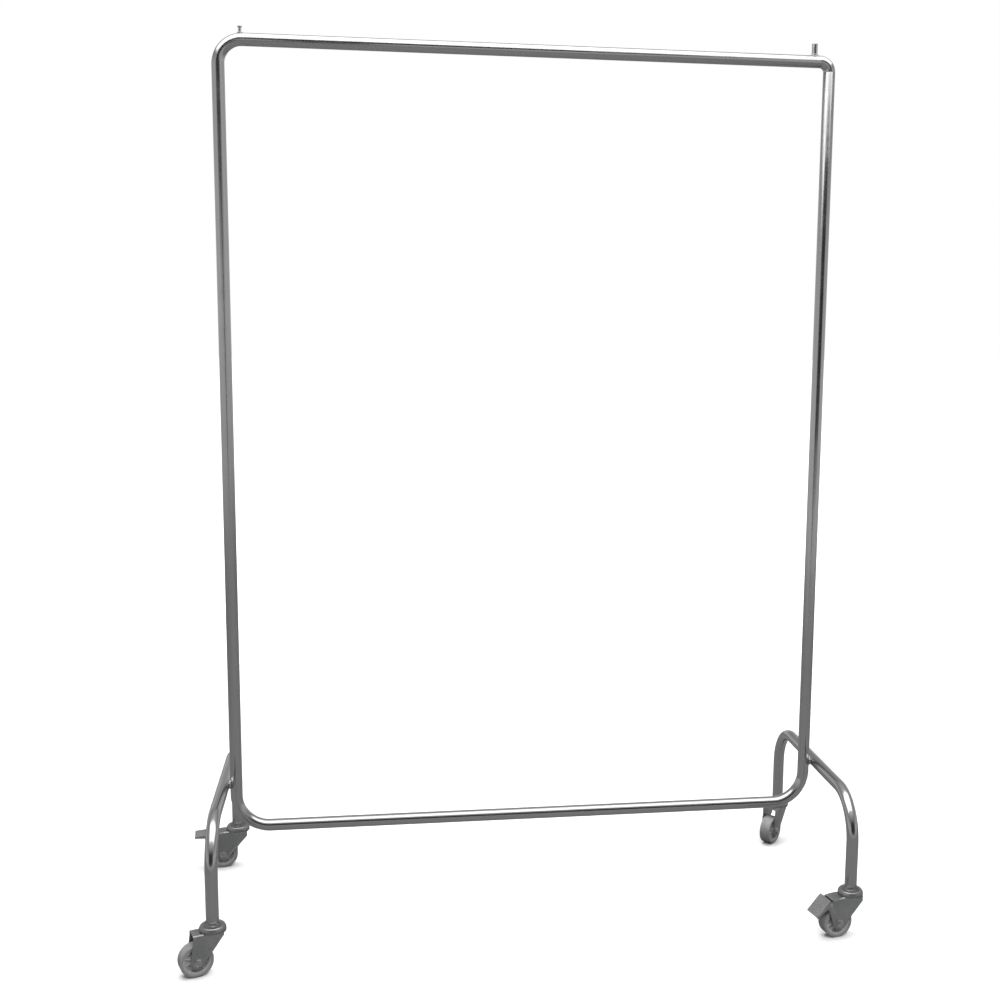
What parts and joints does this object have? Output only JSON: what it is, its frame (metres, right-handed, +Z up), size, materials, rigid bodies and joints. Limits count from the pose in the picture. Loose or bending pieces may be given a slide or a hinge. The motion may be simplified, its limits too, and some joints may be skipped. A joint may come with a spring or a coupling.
{
  "type": "rolling clothes rack",
  "caption": "Free-standing garment rail: a tall bent-tube loop welded between two leg hoops, on swivel casters, with pedal brakes on one diagonal.",
  "frame": {"origin": "on the floor, midway between the two uprights and midway between the front and rear legs", "axes": "+X along the top rail towards the end with the tight corner, -Y to the front, +Z up"},
  "size_m": [1.414, 0.5643, 1.8335],
  "materials": {
    "chrome_tube": "bright chrome plate with faint lengthwise draw marks",
    "weld_metal": "rippled weld bead under chrome plate",
    "peg_steel": "bright plated bar",
    "plain_steel": "plain turned steel, hidden inside",
    "zinc_plate": "satin zinc-plated pressing",
    "bright_steel": "bright zinc-plated fastener",
    "wheel_plastic": "grey moulded plastic",
    "wheel_rubber": "non-marking grey rubber, slightly dusty"
  },
  "bodies": {
    "rack_frame": {"loop_tube": "chrome_tube", "closing_elbow": "chrome_tube", "elbow_sleeves": "plain_steel", "left_leg_hoop": "chrome_tube", "right_leg_hoop": "chrome_tube", "left_hoop_weld": "weld_metal", "right_hoop_weld": "weld_metal", "left_peg": "peg_steel", "right_peg": "peg_steel", "peg_welds": "weld_metal", "leg_plugs": "plain_steel", "lower_races": "zinc_plate", "king_nuts": "plain_steel", "front_left_stem": "bright_steel", "front_left_top_race": "zinc_plate", "rear_left_stem": "bright_steel", "rear_left_top_race": "zinc_plate", "front_right_stem": "bright_steel", "front_right_top_race": "zinc_plate", "rear_right_stem": "bright_steel", "rear_right_top_race": "zinc_plate"},
    "front_left_swivel": {"front_left_balls": "bright_steel", "front_left_fork": "zinc_plate", "front_left_axle_bolt": "bright_steel", "front_left_axle_nut": "bright_steel", "front_left_axle_sleeve": "plain_steel"},
    "front_left_wheel": {"front_left_wheel_core": "wheel_plastic", "front_left_tread": "wheel_rubber"},
    "rear_left_swivel": {"rear_left_balls": "bright_steel", "rear_left_fork": "zinc_plate", "rear_left_axle_bolt": "bright_steel", "rear_left_axle_nut": "bright_steel", "rear_left_axle_sleeve": "plain_steel", "rear_left_pedal_pin": "bright_steel"},
    "rear_left_wheel": {"rear_left_wheel_core": "wheel_plastic", "rear_left_tread": "wheel_rubber"},
    "rear_left_pedal": {"rear_left_brake_pedal": "zinc_plate"},
    "front_right_swivel": {"front_right_balls": "bright_steel", "front_right_fork": "zinc_plate", "front_right_axle_bolt": "bright_steel", "front_right_axle_nut": "bright_steel", "front_right_axle_sleeve": "plain_steel", "front_right_pedal_pin": "bright_steel"},
    "front_right_wheel": {"front_right_wheel_core": "wheel_plastic", "front_right_tread": "wheel_rubber"},
    "front_right_pedal": {"front_right_brake_pedal": "zinc_plate"},
    "rear_right_swivel": {"rear_right_balls": "bright_steel", "rear_right_fork": "zinc_plate", "rear_right_axle_bolt": "bright_steel", "rear_right_axle_nut": "bright_steel", "rear_right_axle_sleeve": "plain_steel"},
    "rear_right_wheel": {"rear_right_wheel_core": "wheel_plastic", "rear_right_tread": "wheel_rubber"}
  },
  "joints": [
    {"name": "front_left_swivel_turn", "type": "hinge", "parent": "rack_frame", "child": "front_left_swivel", "pos_m": [-0.6452, -0.25, 0.0885], "axis": [0, 0, 1], "continuous": true},
    {"name": "front_left_wheel_spin", "type": "hinge", "parent": "front_left_swivel", "child": "front_left_wheel", "pos_m": [-0.67715, -0.26163, 0.0325], "axis": [0.342, -0.9397, 0], "continuous": true},
    {"name": "rear_left_swivel_turn", "type": "hinge", "parent": "rack_frame", "child": "rear_left_swivel", "pos_m": [-0.6452, 0.25, 0.0885], "axis": [0, 0, 1], "continuous": true},
    {"name": "rear_left_wheel_spin", "type": "hinge", "parent": "rear_left_swivel", "child": "rear_left_wheel", "pos_m": [-0.67901, 0.24645, 0.0325], "axis": [0.1045, -0.9945, 0], "continuous": true},
    {"name": "rear_left_pedal_press", "type": "hinge", "parent": "rear_left_swivel", "child": "rear_left_pedal", "pos_m": [-0.70288, 0.24394, 0.0755], "axis": [0.1045, -0.9945, 0], "range_deg": [0, 42]},
    {"name": "front_right_swivel_turn", "type": "hinge", "parent": "rack_frame", "child": "front_right_swivel", "pos_m": [0.6452, -0.25, 0.0885], "axis": [0, 0, 1], "continuous": true},
    {"name": "front_right_wheel_spin", "type": "hinge", "parent": "front_right_swivel", "child": "front_right_wheel", "pos_m": [0.61194, -0.25707, 0.0325], "axis": [0.2079, -0.9781, 0], "continuous": true},
    {"name": "front_right_pedal_press", "type": "hinge", "parent": "front_right_swivel", "child": "front_right_pedal", "pos_m": [0.58847, -0.26206, 0.0755], "axis": [0.2079, -0.9781, 0], "range_deg": [-42, 0]},
    {"name": "rear_right_swivel_turn", "type": "hinge", "parent": "rack_frame", "child": "rear_right_swivel", "pos_m": [0.6452, 0.25, 0.0885], "axis": [0, 0, 1], "continuous": true},
    {"name": "rear_right_wheel_spin", "type": "hinge", "parent": "rear_right_swivel", "child": "rear_right_wheel", "pos_m": [0.62158, 0.22554, 0.0325], "axis": [0.7193, -0.6947, 0], "continuous": true}
  ]
}
